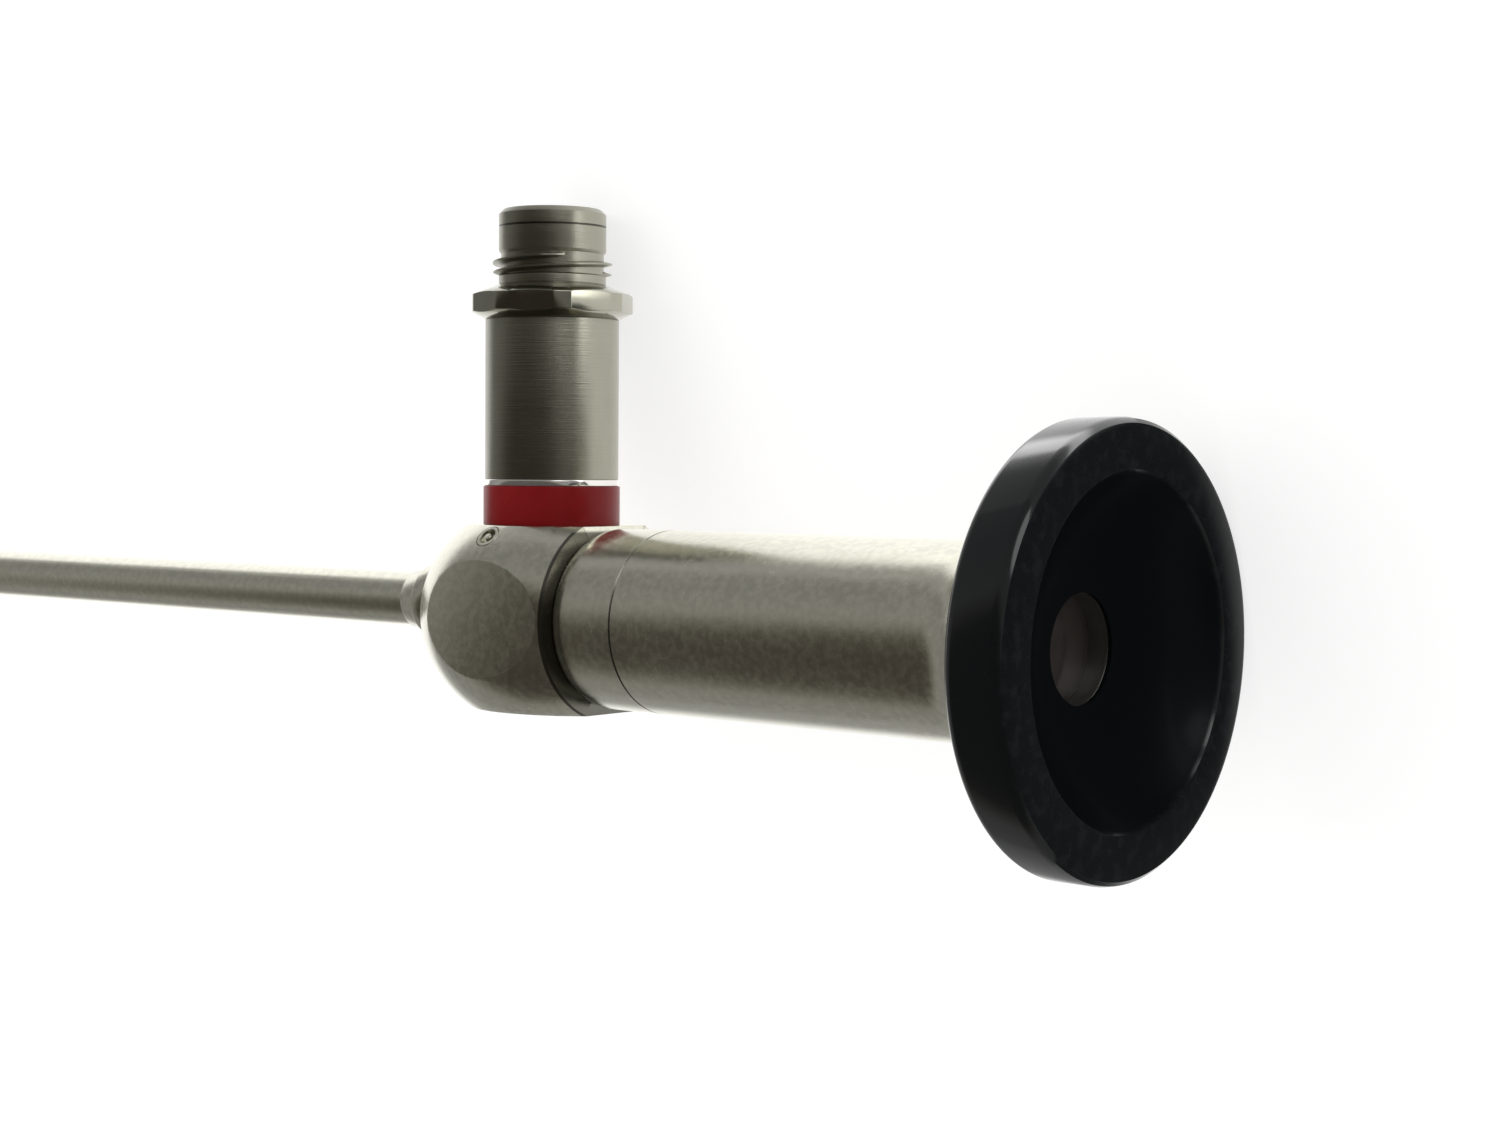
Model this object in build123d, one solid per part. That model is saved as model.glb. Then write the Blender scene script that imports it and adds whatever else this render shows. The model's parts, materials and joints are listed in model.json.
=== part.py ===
from build123d import *

import os
from math import asin, atan, atan2, cos, degrees, hypot, radians, sin, sqrt

# A rigid endoscope with a slanted view. All sizes are in millimetres. It is drawn with the
# optical axis on X, the eyepiece end at +X, the light post up +Z and the post's axis at X = 0.
# At the end every piece is laid down as the instrument comes to rest on a table.

# Fits
fit_gap = 0.02
glue_gap = 0.05

# Working shaft
shaft_length = 300.0
shaft_radius = 2.35
shaft_wall = 0.2
view_angle = 30.0

# Optical tube and its lenses
optic_tube_radius = 1.5
optic_tube_wall = 0.15
tip_window_thickness = 0.6
prism_length = 3.2
objective_count = 2
objective_length = 1.8
rod_count = 6
spacer_length = 3.0
spacer_wall = 0.25
optic_tube_end = 8.0

# Light fibres
bundle_clearance = 0.075
bundle_bend_radius = 2.2
post_bundle_radius = 2.2
bundle_taper = 3.0
bundle_taper_z = 5.0
fibre_join_x = -9.0

# Collar where the shaft enters the block
collar_x = -16.0
collar_start_radius = 2.5
collar_hub_radius = 2.75
collar_flange_x = -13.85
collar_flange_width = 1.45
collar_flange_radius = 3.2
collar_neck_radius = 2.6
collar_end_x = -10.0

# Block that carries the light post: a barrel turned about the optical axis, with flats
barrel_radius = 9.69
barrel_nose_arc = 13.9
barrel_rear_arc = 18.7
block_nose_x = -11.5
block_rear_x = 7.0
block_face_step = 0.15
block_rear_chamfer = 0.15
post_flat = 7.45
bottom_flat = 7.7
side_flat = 8.42
chamber_radius = 4.2
chamber_front_x = -7.5
spigot_radius = 5.6
spigot_length = 2.6

# Plug set in the block beside the post
plug_angle = 137.0
plug_x = -0.15
plug_radius = 1.02
plug_length = 2.2
plug_sink = 0.05
plug_chamfer = 0.06
plug_groove_radius = 0.74
plug_centre_radius = 0.33
plug_groove_depth = 0.35

# Ocular housing: front sleeve and flared tube
body_radius = 7.27
joint_x = 13.57
joint_groove = 0.09
shoulder_drop = 0.3
shoulder_width = 1.2
sleeve_bore_radius = 4.6
ocular_wall = 1.07
joint_spigot_length = 3.5
flare_x = 43.0
flare_end_x = 48.0
flare_rise = 2.63
nose_radius = 7.0
nose_end_x = 50.4
window_bore_radius = 5.2
window_bore_x = 46.8

# Pieces inside the ocular housing
bush_front_x = 5.2
stop_thickness = 0.6
stop_aperture = 1.0
cell_x = 26.0
cell_length = 12.0
cell_wall = 1.25
cell_lip_width = 1.0
eye_lens_edge = 1.8
eye_lens_crown = 0.9
eye_lens_seat = 0.25
eye_lens_spacing = 1.6
eye_lens_wall = 0.5
lens_nut_width = 1.2
lock_ring_width = 1.6
lock_ring_wall = 1.8

# Eyepiece window
window_ring_x = 47.0
window_ring_front_x = 51.1
window_x = 48.5
window_thickness = 1.0
window_radius = 4.4
window_opening = 3.9
window_retainer_width = 1.0

# Eyecup
cup_radius = 15.875
cup_rear_x = 50.9
cup_front_x = 55.5
cup_rear_rounding = 0.9
cup_front_rounding = 0.85
cup_back_step = 0.5
cup_back_rise = 0.5
funnel_radius = 12.35
funnel_floor_x = 51.42
funnel_bulge = 0.75

# Light post
core_radius = 4.0
core_step_radius = 3.2
core_bore_radius = 2.6
core_foot_z = 4.6
core_step_z = 26.0
core_top_z = 31.0
ring_radius = 5.6
ring_height = 3.15
rim_radius = 5.52
rim_height = 0.55
sleeve_radius = 5.47
sleeve_top_z = 24.2
flange_radius = 6.6
flange_flat_depth = 0.27
flange_flat_count = 8
flange_turn = 29.65
flange_chamfer_height = 0.6
flange_land_height = 1.4
flange_cone_height = 0.9
nipple_radius = 4.39
post_top_z = 33.2
post_top_chamfer = 0.4
thread_root_radius = 4.2
thread_start_z = 27.75
thread_length = 1.85
nipple_chamfer = 0.2
cap_groove_z = 31.7
cap_groove_width = 0.14
cap_groove_depth = 0.07
ferrule_length = 12.0
entry_glass_length = 0.8

# Places that follow from the sizes above
tip_x = collar_x - shaft_length  # the shaft's length counts from the collar
body_front_x = block_rear_x + block_face_step
optic_bore = optic_tube_radius - optic_tube_wall
lens_radius = optic_bore - glue_gap
shaft_bore = shaft_radius - shaft_wall
shaft_lift = shaft_bore - optic_tube_radius - glue_gap
ocular_bore = body_radius - ocular_wall
cell_bore_radius = ocular_bore - cell_wall
flare_end_radius = body_radius + flare_rise
cup_back_radius = flare_end_radius + cup_back_step
ring_top_z = post_flat + ring_height
rim_top_z = ring_top_z + rim_height
land_z = sleeve_top_z + flange_chamfer_height
land_top_z = land_z + flange_land_height
flange_top_z = land_top_z + flange_cone_height
bundle_z = (optic_tube_radius + shaft_lift + shaft_bore) / 2
bundle_radius = shaft_lift + shaft_bore - bundle_z - bundle_clearance
tip_window_setback = tip_window_thickness / cos(radians(view_angle))
prism_end_x = tip_x + tip_window_setback + prism_length
objective_pitch = objective_length + glue_gap
train_x = prism_end_x + objective_count * objective_pitch
rod_pitch = (optic_tube_end - train_x) / rod_count


def turned_on_axis(outline):
    """Turn a closed outline, drawn as (x, radius), about the optical axis."""
    return revolve(make_face(outline), Axis.X)


def turned_on_post(corners):
    """Turn a closed outline of (radius, z) corners about the post's axis."""
    outline = Plane.XZ * Polyline(*corners, close=True)
    return revolve(make_face(outline), Axis.Z)


def ring_on_axis(x_start, x_end, outer, bore=0.0):
    """A plain disc, tube or ring on the optical axis."""
    corners = [(x_start, bore), (x_end, bore), (x_end, outer), (x_start, outer)]
    return turned_on_axis(Polyline(*corners, close=True))


def ring_on_post(z_start, z_end, outer, bore=0.0):
    """A plain disc, tube or ring on the post's axis."""
    return turned_on_post([(bore, z_start), (outer, z_start), (outer, z_end), (bore, z_end)])


def tip_cutter(setback=0.0):
    """A solid that takes off everything ahead of the slanted tip, moved back by setback."""
    reach = 40.0
    block = Box(reach, reach, reach, align=(Align.MAX, Align.CENTER, Align.CENTER))
    return Pos(tip_x + setback, 0, 0) * Rot(0, -view_angle, 0) * block


def arc_radius_at(x):
    """The barrel's radius at x: one arc ahead of the post's axis and a flatter one behind."""
    arc = barrel_nose_arc if x < 0 else barrel_rear_arc
    return barrel_radius - arc + sqrt(arc * arc - x * x)


def make_shaft_tube():
    """Outer tube of the shaft; its rear end is brazed face to face to the collar."""
    tube = ring_on_axis(tip_x - 2 * shaft_radius, collar_x, shaft_radius, shaft_bore)
    return Pos(0, 0, shaft_lift) * tube - tip_cutter()


def make_optic_tube():
    start_x = tip_x - 2 * shaft_radius
    return ring_on_axis(start_x, optic_tube_end, optic_tube_radius, optic_bore) - tip_cutter()


def make_shaft_fibres():
    """Fibres fill the crescent between the shaft and the optical tube, on the post's side."""
    start_x = tip_x - 2 * shaft_radius
    filled = Pos(0, 0, shaft_lift) * ring_on_axis(start_x, fibre_join_x, shaft_bore - fit_gap)
    filled -= ring_on_axis(start_x - 1, fibre_join_x + 1, optic_tube_radius + fit_gap)
    below = Box(2 * shaft_length, 4 * shaft_radius, 4 * shaft_radius,
                align=(Align.CENTER, Align.CENTER, Align.MAX))
    filled -= Pos(tip_x / 2, 0, shaft_lift) * below
    return filled - tip_cutter()


def make_tip_window():
    rod = ring_on_axis(tip_x - 2 * shaft_radius, prism_end_x, lens_radius)
    return (rod - tip_cutter()) & tip_cutter(tip_window_setback)


def make_prism():
    rod = ring_on_axis(tip_x - 2 * shaft_radius, prism_end_x, lens_radius)
    return rod - tip_cutter(tip_window_setback + glue_gap)


def lens_outline(x_start, edge, crown_front, crown_rear, radius):
    """Half section of a lens with domed faces; the crowns stand out beyond its edge."""
    front = (x_start - crown_front, 0)
    rear = (x_start + edge + crown_rear, 0)
    edges = Line(front, rear) + Line((x_start, radius), (x_start + edge, radius))
    edges += dome(front, (x_start, radius), crown_front)
    edges += dome(rear, (x_start + edge, radius), -crown_rear)
    return edges


def dome(pole, rim, crown):
    """The arc of a lens face from its pole on the axis to its rim."""
    if crown == 0:
        return Line(pole, rim)
    radius = (rim[1] ** 2 + crown ** 2) / (2 * abs(crown))
    half = rim[1] / 2
    side = 1 if crown > 0 else -1
    middle_x = pole[0] + side * (radius - sqrt(radius ** 2 - half ** 2))
    return ThreePointArc(pole, (middle_x, half), rim)


def make_collar():
    """Stepped collar on the shaft: a cone, a flange and a neck that seats in the block's nose."""
    neck_x = collar_flange_x + collar_flange_width
    corners = [(collar_x, shaft_bore), (collar_end_x, shaft_bore),
               (collar_end_x, collar_neck_radius),
               (neck_x, collar_neck_radius), (neck_x, collar_flange_radius),
               (collar_flange_x, collar_flange_radius), (collar_flange_x, collar_hub_radius),
               (collar_x, collar_start_radius)]
    return Pos(0, 0, shaft_lift) * turned_on_axis(Polyline(*corners, close=True))


def make_barrel():
    """The block's outer form before it is hollowed."""
    tip_radius = arc_radius_at(block_nose_x)
    rear_radius = arc_radius_at(block_rear_x - block_rear_chamfer)
    face_x = block_rear_x + block_face_step
    outline = Line((face_x, 0), (block_nose_x, 0))
    outline += Line((block_nose_x, 0), (block_nose_x, tip_radius))
    middle = block_nose_x / 2
    outline += ThreePointArc((block_nose_x, tip_radius), (middle, arc_radius_at(middle)),
                             (0, barrel_radius))
    last = block_rear_x - block_rear_chamfer
    outline += ThreePointArc((0, barrel_radius), (last / 2, arc_radius_at(last / 2)),
                             (last, rear_radius))
    outline += Line((last, rear_radius), (face_x, rear_radius - 2 * block_rear_chamfer))
    outline += Line((face_x, rear_radius - 2 * block_rear_chamfer), (face_x, 0))
    barrel = turned_on_axis(outline)
    flats = Box(4 * barrel_radius, 2 * side_flat, post_flat + bottom_flat)
    return barrel & Pos(0, 0, (post_flat - bottom_flat) / 2) * flats


def plug_place():
    """Where the plug's head lies: its Z points out of the block along the plug's axis."""
    turn = radians(plug_angle)
    outward = Vector(0, cos(turn), sin(turn))
    head = Vector(plug_x, 0, 0) + outward * (arc_radius_at(plug_x) - plug_sink)
    return Plane(origin=head, x_dir=(1, 0, 0), z_dir=outward).location


def make_block():
    block = make_barrel()
    spigot_bore = spigot_radius + fit_gap
    block -= ring_on_axis(body_front_x - spigot_length, body_front_x + 1, spigot_bore)
    block -= ring_on_axis(chamber_front_x, body_front_x, chamber_radius)
    nose_bore = ring_on_axis(block_nose_x - 1, chamber_front_x + 1, shaft_bore)
    block -= Pos(0, 0, shaft_lift) * nose_bore
    seat = ring_on_axis(block_nose_x - 1, collar_end_x, collar_neck_radius + fit_gap)
    block -= Pos(0, 0, shaft_lift) * seat
    block -= ring_on_post(core_foot_z, post_flat + 1, core_radius + fit_gap)
    block -= ring_on_post(0, core_foot_z + 1, post_bundle_radius + 0.3)
    hole = ring_on_post(-plug_length, 2 * plug_sink + 1, plug_radius + fit_gap)
    return block - plug_place() * hole


def make_plug():
    """A round plug pressed into the block, with a ring groove cut in its head."""
    groove_z = -plug_groove_depth
    pin = turned_on_post([
        (0, -plug_length), (plug_radius, -plug_length), (plug_radius, -plug_chamfer),
        (plug_radius - plug_chamfer, 0), (plug_groove_radius, 0), (plug_groove_radius, groove_z),
        (plug_centre_radius, groove_z), (plug_centre_radius, 0), (0, 0)])
    return plug_place() * pin


def make_front_sleeve():
    """Front part of the ocular housing, with a spigot at each end and a rounded shoulder."""
    front_x = body_front_x
    start_x = front_x - spigot_length
    end_x = joint_x + joint_spigot_length
    shoulder_radius = body_radius - shoulder_drop
    shoulder_arc = (shoulder_width ** 2 + shoulder_drop ** 2) / (2 * shoulder_drop)
    half = shoulder_width / 2
    middle_radius = body_radius - shoulder_arc + sqrt(shoulder_arc ** 2 - half ** 2)
    outline = Polyline((end_x, ocular_bore - fit_gap), (end_x, sleeve_bore_radius),
                       (start_x, sleeve_bore_radius), (start_x, spigot_radius),
                       (front_x, spigot_radius), (front_x, shoulder_radius))
    outline += ThreePointArc((front_x, shoulder_radius), (front_x + half, middle_radius),
                             (front_x + shoulder_width, body_radius))
    outline += Polyline((front_x + shoulder_width, body_radius),
                        (joint_x - joint_groove, body_radius),
                        (joint_x, body_radius - joint_groove),
                        (joint_x, ocular_bore - fit_gap),
                        (end_x, ocular_bore - fit_gap))
    return turned_on_axis(outline)


def make_ocular_tube():
    """Rear part of the ocular housing: a thin tube that flares to the back of the eyecup."""
    rise = flare_end_radius - body_radius
    run = flare_end_x - flare_x
    flare_arc = (run ** 2 + rise ** 2) / (2 * rise)
    middle_radius = body_radius + flare_arc - sqrt(flare_arc ** 2 - (run / 2) ** 2)
    bore = window_bore_radius + fit_gap
    outline = Polyline((flare_end_x, flare_end_radius), (flare_end_x, nose_radius),
                       (nose_end_x, nose_radius), (nose_end_x, bore), (window_bore_x, bore),
                       (window_bore_x, ocular_bore), (joint_x, ocular_bore),
                       (joint_x, body_radius - joint_groove),
                       (joint_x + joint_groove, body_radius), (flare_x, body_radius))
    outline += ThreePointArc((flare_x, body_radius), (flare_x + run / 2, middle_radius),
                             (flare_end_x, flare_end_radius))
    return turned_on_axis(outline)


def make_lens_cell():
    """Tube that holds the eyepiece lenses, with a lip at its front."""
    bore = cell_bore_radius + fit_gap
    lip = cell_bore_radius - eye_lens_wall
    lip_x = cell_x + cell_lip_width
    end_x = cell_x + cell_length
    corners = [(cell_x, lip), (lip_x, lip), (lip_x, bore), (end_x, bore),
               (end_x, ocular_bore - fit_gap), (cell_x, ocular_bore - fit_gap)]
    return turned_on_axis(Polyline(*corners, close=True))


def make_eye_lenses():
    """The two eyepiece lenses, the spacer between them and the nut behind, from the front."""
    front_x = cell_x + cell_lip_width + eye_lens_seat
    spacer_x = front_x + eye_lens_edge + eye_lens_seat
    rear_x = spacer_x + eye_lens_spacing + eye_lens_seat
    nut_x = rear_x + eye_lens_edge
    wall_bore = cell_bore_radius - eye_lens_wall
    front = lens_outline(front_x, eye_lens_edge, eye_lens_crown, eye_lens_crown, cell_bore_radius)
    rear = lens_outline(rear_x, eye_lens_edge, eye_lens_crown, 0, cell_bore_radius)
    return {
        "eye_lens_front": turned_on_axis(front),
        "eye_lens_spacer": ring_on_axis(spacer_x, spacer_x + eye_lens_spacing,
                                        cell_bore_radius, wall_bore),
        "eye_lens_rear": turned_on_axis(rear),
        "eye_lens_nut": ring_on_axis(nut_x, nut_x + lens_nut_width, cell_bore_radius, wall_bore),
    }


def make_window_ring():
    """Metal ring in the end of the housing that carries the eyepiece window."""
    seat_x = window_x + window_thickness
    seat = window_radius + fit_gap
    corners = [(window_ring_x, seat), (seat_x, seat), (seat_x, window_opening),
               (window_ring_front_x, window_opening), (window_ring_front_x, window_bore_radius),
               (window_ring_x, window_bore_radius)]
    return turned_on_axis(Polyline(*corners, close=True))


def make_eyecup():
    """Moulded cup: a broad rim with rounded edges and a dished funnel down to the window."""
    inner = nose_radius + fit_gap
    bore = window_bore_radius + fit_gap
    rear, front = cup_rear_rounding, cup_front_rounding
    diagonal = 1 - sqrt(0.5)
    funnel_middle_x = (cup_front_x + funnel_floor_x) / 2 - funnel_bulge
    funnel_middle_radius = (funnel_radius + window_opening) / 2 + funnel_bulge
    outline = Polyline((funnel_floor_x, window_opening), (window_ring_front_x, window_opening),
                       (window_ring_front_x, bore), (nose_end_x, bore), (nose_end_x, inner),
                       (flare_end_x, inner), (flare_end_x, cup_back_radius),
                       (flare_end_x + cup_back_rise, cup_back_radius + cup_back_rise),
                       (cup_rear_x, cup_radius - rear))
    outline += ThreePointArc((cup_rear_x, cup_radius - rear),
                             (cup_rear_x + rear * diagonal, cup_radius - rear * diagonal),
                             (cup_rear_x + rear, cup_radius))
    outline += Line((cup_rear_x + rear, cup_radius), (cup_front_x - front, cup_radius))
    outline += ThreePointArc((cup_front_x - front, cup_radius),
                             (cup_front_x - front * diagonal, cup_radius - front * diagonal),
                             (cup_front_x, cup_radius - front))
    outline += Line((cup_front_x, cup_radius - front), (cup_front_x, funnel_radius))
    outline += ThreePointArc((cup_front_x, funnel_radius),
                             (funnel_middle_x, funnel_middle_radius),
                             (funnel_floor_x, window_opening))
    return turned_on_axis(outline)


def make_post_core():
    """Inner tube of the light post; its foot is pressed into the block."""
    return turned_on_post([
        (core_bore_radius, core_foot_z), (core_radius, core_foot_z), (core_radius, core_step_z),
        (core_step_radius, core_step_z), (core_step_radius, core_top_z),
        (core_bore_radius, core_top_z)])


def make_flange():
    """Ring with flats for a key; its chamfers leave the edges of the flats curved."""
    low, high = sleeve_top_z, flange_top_z
    step = core_radius + fit_gap
    turned = turned_on_post([
        (step, low), (sleeve_radius, low), (flange_radius, land_z), (flange_radius, land_top_z),
        (nipple_radius, high), (core_step_radius + fit_gap, high),
        (core_step_radius + fit_gap, core_step_z), (step, core_step_z)])
    flat_reach = flange_radius - flange_flat_depth
    key_form = RegularPolygon(flat_reach, flange_flat_count, major_radius=False)
    bar = extrude(Pos(0, 0, low) * key_form, high - low)
    first_flat = bar.faces().filter_by(GeomType.PLANE).sort_by(Axis.X)[-1].center()
    turn = flange_turn - degrees(atan2(first_flat.Y, first_flat.X))
    return turned & Rot(0, 0, turn) * bar


def make_nipple():
    """Threaded end of the post. The thread's ridges stand on the recessed band."""
    root = thread_root_radius
    thread_end_z = thread_start_z + thread_length
    groove_z = cap_groove_z
    groove_radius = nipple_radius - cap_groove_depth
    return turned_on_post([
        (core_step_radius + fit_gap, flange_top_z), (nipple_radius, flange_top_z),
        (nipple_radius, thread_start_z), (root, thread_start_z), (root, thread_end_z),
        (nipple_radius, thread_end_z + nipple_chamfer), (nipple_radius, groove_z),
        (groove_radius, groove_z), (groove_radius, groove_z + cap_groove_width),
        (nipple_radius, groove_z + cap_groove_width),
        (nipple_radius, post_top_z - post_top_chamfer),
        (nipple_radius - post_top_chamfer, post_top_z), (core_bore_radius, post_top_z),
        (core_bore_radius, core_top_z), (core_step_radius + fit_gap, core_top_z)])


def make_fibre_bundle():
    """Fibres from the post's end: they narrow, turn forwards and run to the shaft's fibres."""
    top_z = post_top_z - entry_glass_length
    neck_z = bundle_taper_z
    bundle = turned_on_post([(0, neck_z), (bundle_radius, neck_z),
                             (post_bundle_radius, neck_z + bundle_taper),
                             (post_bundle_radius, top_z), (0, top_z)])
    path = FilletPolyline((0, 0, neck_z), (0, 0, bundle_z), (fibre_join_x, 0, bundle_z),
                          radius=bundle_bend_radius)
    start = Plane(origin=(0, 0, neck_z), x_dir=(1, 0, 0), z_dir=(0, 0, -1))
    return bundle + sweep(start * Circle(bundle_radius), path)


def make_train():
    """Prism, objective lenses, rod lenses and spacers inside the optical tube."""
    train = {"tip_window": make_tip_window(), "view_prism": make_prism()}
    for index in range(objective_count):
        x_start = prism_end_x + index * objective_pitch
        lens = ring_on_axis(x_start, x_start + objective_length, lens_radius)
        train[f"objective_lens_{index + 1}"] = lens
    for index in range(rod_count):
        x_start = train_x + index * rod_pitch
        rod_x = x_start + spacer_length
        spacer = ring_on_axis(x_start, rod_x, lens_radius, lens_radius - spacer_wall)
        train[f"rod_spacer_{index + 1}"] = spacer
        train[f"rod_lens_{index + 1}"] = ring_on_axis(rod_x, x_start + rod_pitch, lens_radius)
    return train


def make_pieces():
    """Every piece of the instrument by name, still on the optical axis."""
    stop_end_x = optic_tube_end + stop_thickness
    lock_x = cell_x + cell_length
    ferrule_low = post_top_z - ferrule_length
    ferrule_radius = core_bore_radius - fit_gap
    entry_radius = post_bundle_radius
    sleeve_bore = core_radius + fit_gap
    pieces = {
        "shaft_tube": make_shaft_tube(),
        "optic_tube": make_optic_tube(),
        "shaft_fibres": make_shaft_fibres(),
        "shaft_collar": make_collar(),
        "post_block": make_block(),
        "block_plug": make_plug(),
        "front_sleeve": make_front_sleeve(),
        "ocular_tube": make_ocular_tube(),
        "optic_tube_bush": ring_on_axis(bush_front_x, optic_tube_end,
                                        sleeve_bore_radius - fit_gap,
                                        optic_tube_radius + fit_gap),
        "field_stop": ring_on_axis(optic_tube_end, stop_end_x,
                                   sleeve_bore_radius - fit_gap, stop_aperture),
        "lens_cell": make_lens_cell(),
        "cell_lock_ring": ring_on_axis(lock_x, lock_x + lock_ring_width,
                                       ocular_bore - fit_gap, ocular_bore - lock_ring_wall),
        "window_ring": make_window_ring(),
        "eyepiece_window": ring_on_axis(window_x, window_x + window_thickness, window_radius),
        "window_retainer": ring_on_axis(window_x - window_retainer_width, window_x,
                                        window_radius, window_opening),
        "eyecup": make_eyecup(),
        "post_core": make_post_core(),
        "colour_ring": ring_on_post(post_flat, ring_top_z, ring_radius, sleeve_bore),
        "post_rim_ring": ring_on_post(ring_top_z, rim_top_z, rim_radius, sleeve_bore),
        "post_sleeve": ring_on_post(rim_top_z, sleeve_top_z, sleeve_radius, sleeve_bore),
        "post_flange": make_flange(),
        "post_nipple": make_nipple(),
        "fibre_ferrule": ring_on_post(ferrule_low, post_top_z, ferrule_radius,
                                      entry_radius + fit_gap),
        "light_entry_glass": ring_on_post(post_top_z - entry_glass_length, post_top_z,
                                          entry_radius),
        "fibre_bundle": make_fibre_bundle(),
    }
    pieces.update(make_eye_lenses())
    pieces.update(make_train())
    return pieces


def resting_angles():
    """Pitch and droop, in radians, at which cup, post and shaft tip touch one flat table."""
    rims = [(flange_radius, land_top_z), (nipple_radius, post_top_z - post_top_chamfer)]
    cup_x = cup_rear_x + cup_rear_rounding
    pitch, droop = 0.0, 0.0
    for _ in range(20):
        tip_reach = shaft_radius + shaft_lift * sin(droop)
        pitch = atan((cup_radius - tip_reach) / (cup_x - tip_x))
        height = cup_radius * cos(pitch) - cup_x * sin(pitch)
        leans = [asin(height / hypot(z, radius)) - atan2(radius, z) for radius, z in rims]
        droop = asin(sin(min(leans)) / cos(pitch))
    return pitch, droop


def resting_place(pieces):
    """Lay the instrument on the table, with the origin under the middle of its outer box."""
    pitch, droop = resting_angles()
    attitude = Rot(0, -degrees(pitch), 0) * Rot(-90 - degrees(droop), 0, 0)
    laid = Compound(children=[attitude * piece for piece in pieces.values()])
    box = laid.bounding_box()
    return Pos(-box.center().X, -box.center().Y, -box.min.Z) * attitude


def main():
    os.makedirs("parts", exist_ok=True)
    pieces = make_pieces()
    place = resting_place(pieces)
    for name, piece in pieces.items():
        export_step(place * piece, f"parts/{name}.step")


if __name__ == "__main__":
    main()
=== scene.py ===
import bmesh
import bpy
import json
from bpy.props import FloatProperty, FloatVectorProperty, PointerProperty
from math import atan, cos, pi, radians, sin, sqrt, tan
from mathutils import Matrix, Vector
from mathutils.geometry import intersect_line_line


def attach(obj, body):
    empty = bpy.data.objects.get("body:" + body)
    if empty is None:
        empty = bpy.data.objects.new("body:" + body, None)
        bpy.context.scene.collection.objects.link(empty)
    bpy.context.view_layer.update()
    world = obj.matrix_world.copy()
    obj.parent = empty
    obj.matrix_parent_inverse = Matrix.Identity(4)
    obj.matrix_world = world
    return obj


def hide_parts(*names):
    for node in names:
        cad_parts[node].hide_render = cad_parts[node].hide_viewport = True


bl_info = {
    "name": "Rigid endoscope",
    "version": (1, 0, 0),
    "blender": (4, 5, 0),
    "location": "3D View > Sidebar > Endoscope",
    "description": "Fine turned pieces, finishes and a studio for a rigid endoscope",
    "category": "Object",
}

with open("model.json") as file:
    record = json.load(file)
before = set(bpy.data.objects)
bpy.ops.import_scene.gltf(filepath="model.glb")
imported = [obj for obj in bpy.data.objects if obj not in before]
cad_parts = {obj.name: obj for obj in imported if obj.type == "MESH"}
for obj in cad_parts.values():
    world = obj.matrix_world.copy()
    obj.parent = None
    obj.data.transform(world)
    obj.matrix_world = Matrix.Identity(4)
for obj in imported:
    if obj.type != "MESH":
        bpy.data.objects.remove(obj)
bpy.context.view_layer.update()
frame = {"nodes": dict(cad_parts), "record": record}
MOUNTS = {mount["name"]: mount for mount in frame["record"]["mounts"]}
MM = 0.001


def instrument_place():
    """From the instrument's own millimetres, X on the optical axis and Z up the post, to the row."""
    rim, post = MOUNTS["eyecup_rim"], MOUNTS["light_post"]
    along, up = Vector(rim["axis"]).normalized(), Vector(post["axis"]).normalized()
    rim_point, post_point = Vector(rim["pos_m"]), Vector(post["pos_m"])
    crossing = intersect_line_line(rim_point, rim_point + along, post_point, post_point + up)[0]
    turn = Matrix((along, up.cross(along), up)).transposed().to_4x4()
    return Matrix.Translation(crossing) @ turn @ Matrix.Scale(MM, 4)


PLACE = instrument_place()
ON_POST = Matrix.Rotation(-pi / 2, 4, "Y")
ALONG = Vector((1, 0, 0))

# Mesh fineness
TURN_STEPS = 128
CUP_STEPS = 160
FLANGE_STEPS = 192
PIN_STEPS = 64
THREAD_STEPS = 150
ARC_STEP = radians(5)
ROUNDING_STEPS = 3
MERGE_DISTANCE = 1e-4
SHARP_EDGE = radians(30)

# Shaft, collar and block, in millimetres along the optical axis from the post
VIEW_ANGLE = radians(30)
SHAFT_LENGTH = 300.0
SHAFT_WALL = 0.2
SHAFT_LIFT = 0.6
COLLAR_X = -16.0
COLLAR_FLANGE_X = -13.85
COLLAR_FLANGE_WIDTH = 1.45
COLLAR_END_X = -10.0
NOSE_X = -11.5
BLOCK_REAR_X = 7.15
CHAMBER_X = -7.5
SPIGOT_X = 4.55
NOSE_ARC = 13.9
REAR_ARC = 18.7
PLUG_ANGLE = radians(137)
PLUG_X = -0.15
PLUG_LENGTH = 2.2
PLUG_SINK = 0.05

# Ocular housing, eyecup and window
JOINT_X = 13.57
JOINT_GROOVE = 0.09
FLARE_X = 43.0
CUP_X = 48.0
CUP_NOSE_X = 50.4
CUP_SEAT = 5.22
WINDOW_X = 48.5
WINDOW_THICKNESS = 1.0
WINDOW_RING_X = 47.0
WINDOW_RING_FRONT_X = 51.1

# Light post, in millimetres above the optical axis
POST_BORE = 4.02
FERRULE_SEAT = 3.22
SLEEVE_TOP_Z = 24.2
FLANGE_TOP_Z = 27.1
FLANGE_TURN = radians(29.65)
FLANGE_FLATS = 8
CUT_LOW_Z = 31.7
CUT_HIGH_Z = 31.84
THREAD_STARTS = 2
THREAD_LEAD = 1.66
THREAD_LOW_Z = 27.9
THREAD_SWEEP = radians(303)
THREAD_TURN = radians(27)

# How the marks of turning are packed along the optical axis and drawn out around it
TURNING_MARKS = (1.5, 0.1, 0.1)

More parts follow.
